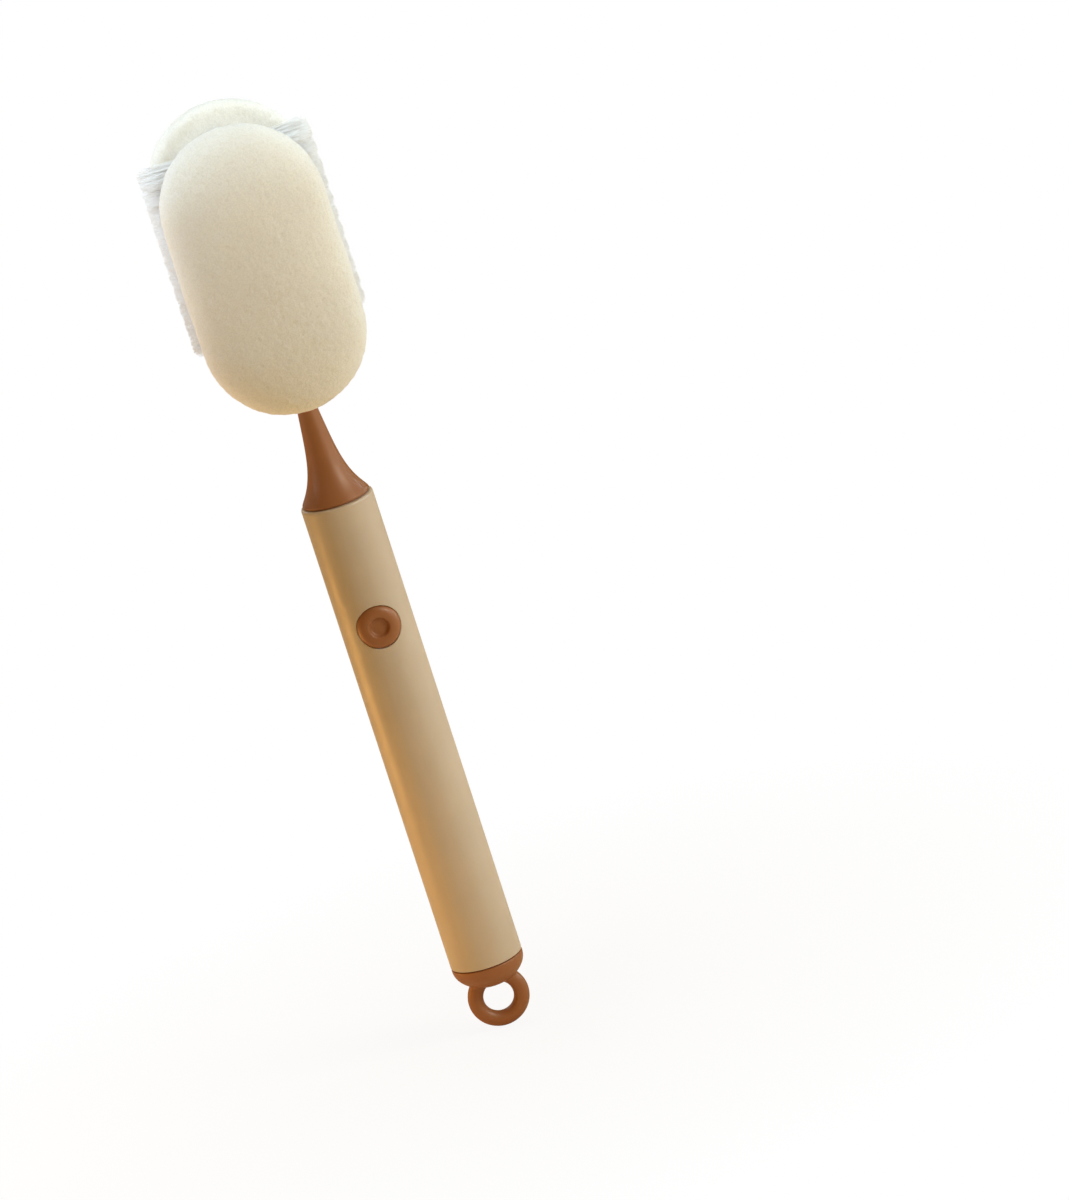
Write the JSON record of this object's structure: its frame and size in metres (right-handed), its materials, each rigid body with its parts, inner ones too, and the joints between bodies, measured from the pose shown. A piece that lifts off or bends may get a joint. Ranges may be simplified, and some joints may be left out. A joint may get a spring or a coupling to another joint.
{
  "type": "sponge bottle brush",
  "caption": "Long-handled bottle brush: two oblong foam pads round a core of bristles, trumpet neck, push-button release and a hanging ring.",
  "frame": {"origin": "centre of the hanging ring's hole at the lower end", "axes": "+Z along the brush from the ring to the head, the push button and the front pad face -Y"},
  "size_m": [0.058, 0.065, 0.3183],
  "materials": {
    "beige_plastic": "smooth satin",
    "terracotta_plastic": "smooth, soft gloss",
    "inner_plastic": "plain moulded",
    "cream_foam": "open-cell foam, fine pores",
    "white_nylon": "fine bristles",
    "dark_rubber": "matte",
    "steel": "plain wire and turned steel"
  },
  "bodies": {
    "handle": {"handle_tube": "beige_plastic", "end_cap": "terracotta_plastic", "cap_ring": "dark_rubber", "socket_insert": "inner_plastic", "button_spring": "steel"},
    "button": {"release_button": "terracotta_plastic", "latch_yoke": "inner_plastic"},
    "head": {"neck": "terracotta_plastic", "neck_gasket": "dark_rubber", "spigot_ring": "dark_rubber", "stem_pin": "steel", "frame_front": "inner_plastic", "frame_back": "inner_plastic", "frame_screw_1": "steel", "frame_screw_2": "steel", "frame_screw_3": "steel", "bristles_left": "white_nylon", "bristles_right": "white_nylon", "sponge_front": "cream_foam", "sponge_back": "cream_foam"}
  },
  "joints": [
    {"name": "button_press", "type": "slide", "parent": "handle", "child": "button", "axis": [0, 1, 0], "range_m": [0, 0.0018], "stiffness_N_per_m": 600, "springref_m": -0.001, "deforming": ["button_spring"]},
    {"name": "head_pull", "type": "slide", "parent": "handle", "child": "head", "axis": [0, 0, 1], "range_m": [0, 0.054]}
  ]
}
